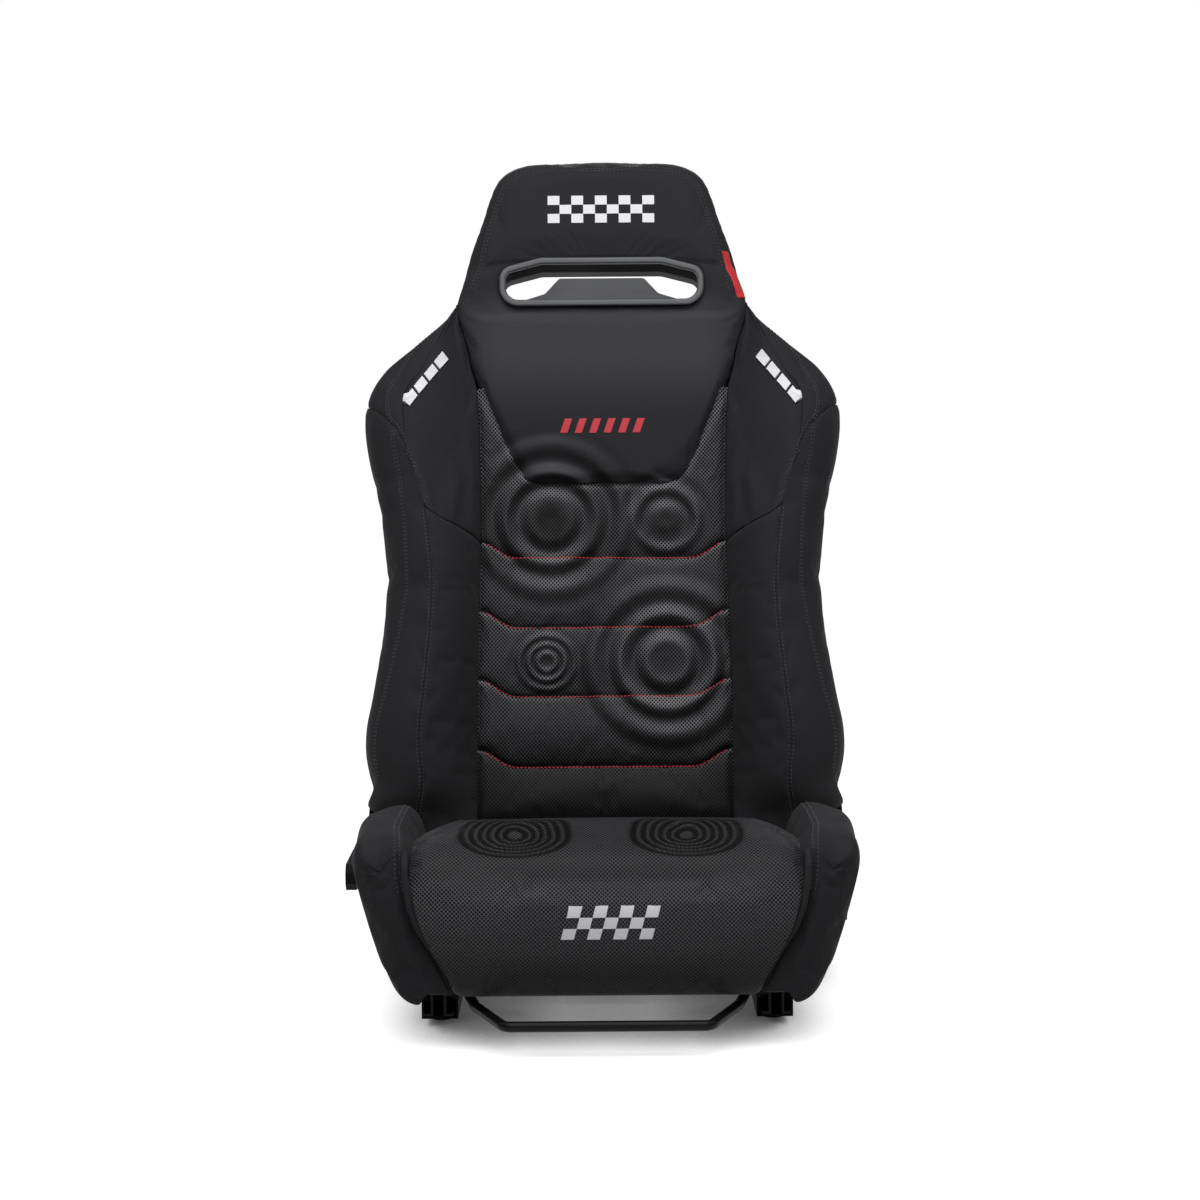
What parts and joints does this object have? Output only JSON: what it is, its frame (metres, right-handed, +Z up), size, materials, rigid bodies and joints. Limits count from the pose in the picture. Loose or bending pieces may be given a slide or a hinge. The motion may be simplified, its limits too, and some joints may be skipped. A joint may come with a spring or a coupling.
{
  "type": "racing seat",
  "caption": "Reclining racing seat on slide rails, with mesh centre panels, side bolsters, head opening and hidden vibration units.",
  "frame": {"origin": "centre of the four rail bolt holes, on the floor plane under the feet", "axes": "+Z up, the seat faces -Y, +X to the right of a viewer in front of the seat"},
  "size_m": [0.5686, 0.7256, 0.9269],
  "materials": {
    "rail_steel": "satin black powder coat",
    "bare_steel": "bare ground steel",
    "fasteners": "black oxide",
    "bar_coating": "satin black powder coat",
    "black_plastic": "fine moulded texture",
    "grey_plastic": "smooth dark grey moulding",
    "smooth_fabric": "fine woven black cloth",
    "mesh_fabric": "open black spacer mesh",
    "red_fabric": "red woven tape",
    "circuit": "solder mask"
  },
  "bodies": {
    "base": {"lower_rail_left": "rail_steel", "lower_rail_right": "rail_steel", "rail_feet": "rail_steel", "rail_end_caps": "black_plastic"},
    "seat": {"upper_rail_left": "rail_steel", "upper_rail_right": "rail_steel", "latch_guide_left": "rail_steel", "latch_guide_right": "rail_steel", "bar_bush_left": "rail_steel", "bar_bush_right": "rail_steel", "pan_posts": "rail_steel", "seat_pan": "rail_steel", "recliner_bracket_left": "rail_steel", "recliner_bracket_right": "rail_steel", "recliner_disc_left": "rail_steel", "recliner_disc_right": "rail_steel", "unit_posts": "bare_steel", "box_sockets": "bare_steel", "bracket_bolts": "fasteners", "recliner_cover_left": "black_plastic", "recliner_cover_right": "black_plastic", "control_box": "black_plastic", "seat_vibration_units": "black_plastic", "cushion_bolster_left": "smooth_fabric", "cushion_bolster_right": "smooth_fabric", "seat_cushion": "mesh_fabric", "circuit_board": "circuit"},
    "ball_cage_left": {"ball_cage_left": "bare_steel"},
    "ball_cage_right": {"ball_cage_right": "bare_steel"},
    "release_bar": {"release_bar": "bar_coating"},
    "latch_left": {"latch_plate_left": "rail_steel"},
    "latch_right": {"latch_plate_right": "rail_steel"},
    "recline_lever": {"recline_lever": "black_plastic", "recline_shaft": "bare_steel", "shaft_cap": "black_plastic"},
    "backrest": {"recliner_plate_left": "rail_steel", "recliner_plate_right": "rail_steel", "back_frame": "rail_steel", "support_board": "black_plastic", "centre_pad": "mesh_fabric", "upper_panel": "smooth_fabric", "side_bolster_left": "smooth_fabric", "side_bolster_right": "smooth_fabric", "shoulder_pad_left": "smooth_fabric", "shoulder_pad_right": "smooth_fabric", "headrest_pad": "smooth_fabric", "opening_bezel_front": "grey_plastic", "opening_bezel_rear": "grey_plastic", "opening_guide": "grey_plastic", "side_tag": "red_fabric", "back_vibration_units": "black_plastic", "back_shell": "black_plastic", "shell_screws": "fasteners"}
  },
  "joints": [
    {"name": "seat_slide", "type": "slide", "parent": "base", "child": "seat", "axis": [0, -1, 0], "range_m": [-0.09, 0.09]},
    {"name": "ball_cage_left_slide", "type": "slide", "parent": "base", "child": "ball_cage_left", "axis": [0, -1, 0], "range_m": [-0.046, 0.046]},
    {"name": "ball_cage_right_slide", "type": "slide", "parent": "base", "child": "ball_cage_right", "axis": [0, -1, 0], "range_m": [-0.046, 0.046]},
    {"name": "release_bar_lift", "type": "hinge", "parent": "seat", "child": "release_bar", "pos_m": [0, -0.205, 0.0415], "axis": [-1, 0, 0], "range_deg": [0, 8], "stiffness_Nm_per_rad": 1.5, "springref_deg": -20.05},
    {"name": "latch_left_lift", "type": "slide", "parent": "seat", "child": "latch_left", "axis": [0, 0, 1], "range_m": [0, 0.0035]},
    {"name": "latch_right_lift", "type": "slide", "parent": "seat", "child": "latch_right", "axis": [0, 0, 1], "range_m": [0, 0.0035]},
    {"name": "recline", "type": "hinge", "parent": "seat", "child": "backrest", "pos_m": [0, 0.185, 0.13], "axis": [1, 0, 0], "range_deg": [-55, 32]},
    {"name": "recline_lever_lift", "type": "hinge", "parent": "seat", "child": "recline_lever", "pos_m": [0, 0.185, 0.13], "axis": [-1, 0, 0], "range_deg": [0, 30], "stiffness_Nm_per_rad": 0.8, "springref_deg": -17.19}
  ],
  "couplings": [
    {"joint": "ball_cage_left_slide", "follows": "seat_slide", "ratio": 0.5},
    {"joint": "ball_cage_right_slide", "follows": "seat_slide", "ratio": 0.5},
    {"joint": "latch_left_lift", "follows": "release_bar_lift", "m_per_rad": 0.025},
    {"joint": "latch_right_lift", "follows": "release_bar_lift", "m_per_rad": 0.025}
  ]
}
